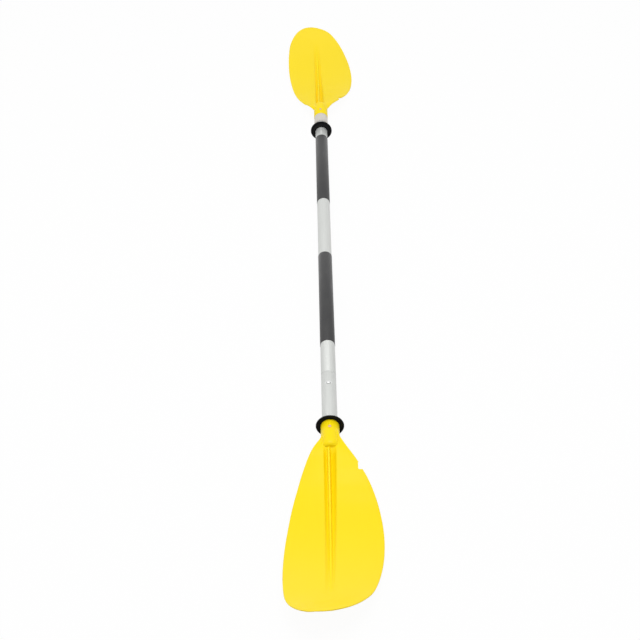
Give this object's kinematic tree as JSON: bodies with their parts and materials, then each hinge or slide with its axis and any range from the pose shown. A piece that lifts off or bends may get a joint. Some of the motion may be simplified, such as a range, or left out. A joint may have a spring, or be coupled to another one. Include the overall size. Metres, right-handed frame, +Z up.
{
  "type": "kayak paddle",
  "caption": "Double-bladed kayak paddle with spooned, asymmetric blades, a take-apart tube shaft, dark hand grips, sliding drip rings and a snap button.",
  "frame": {"origin": "centre of the bounding box's underside, on the surface that the paddle lies on", "axes": "+X along the shaft to the far blade, +Y to the long edges of the blades, +Z up, out of both power faces"},
  "size_m": [2.127, 0.177, 0.0677],
  "materials": {
    "bladeYellow": "moulded, smooth with a soft sheen",
    "shaftCoat": "fine satin, light grey",
    "gripBlack": "matt, fine grained",
    "ringRubber": "smooth black, soft sheen",
    "collarGrey": "milky grey",
    "foamWhite": "closed-cell foam",
    "capNylon": "plain moulded",
    "bareAluminium": "bare, drawn",
    "springSteel": "cold rolled",
    "buttonSteel": "polished"
  },
  "bodies": {
    "shaft": {"main_shaft_tube": "shaftCoat", "near_grip": "gripBlack", "far_grip": "gripBlack", "far_collar": "collarGrey", "far_blade": "bladeYellow", "far_blade_rivet": "bareAluminium", "far_foam_plug": "foamWhite"},
    "ferrule": {"joint_ferrule": "bareAluminium", "ferrule_end_cap": "capNylon", "button_spring": "springSteel"},
    "near_section": {"near_shaft_tube": "shaftCoat", "near_blade": "bladeYellow", "near_blade_rivet": "bareAluminium", "near_foam_plug": "foamWhite"},
    "button": {"snap_button": "buttonSteel"},
    "near_ring": {"near_drip_ring": "ringRubber"},
    "far_ring": {"far_drip_ring": "ringRubber"}
  },
  "joints": [
    {"name": "feather_turn", "type": "hinge", "parent": "shaft", "child": "ferrule", "pos_m": [-0.448, 0.00039, 0.0272], "axis": [1, 0, 0], "range_deg": [-60, 60]},
    {"name": "section_pull", "type": "slide", "parent": "ferrule", "child": "near_section", "axis": [-1, 0, 0], "range_m": [0, 0.25]},
    {"name": "button_press", "type": "slide", "parent": "ferrule", "child": "button", "axis": [0, 0, -1], "range_m": [0, 0.0041], "stiffness_N_per_m": 1200, "springref_m": -0.002, "deforming": ["button_spring"]},
    {"name": "near_ring_slide", "type": "slide", "parent": "near_section", "child": "near_ring", "axis": [1, 0, 0], "range_m": [0, 0.096]},
    {"name": "far_ring_slide", "type": "slide", "parent": "shaft", "child": "far_ring", "axis": [1, 0, 0], "range_m": [-0.0375, 0.024]}
  ]
}
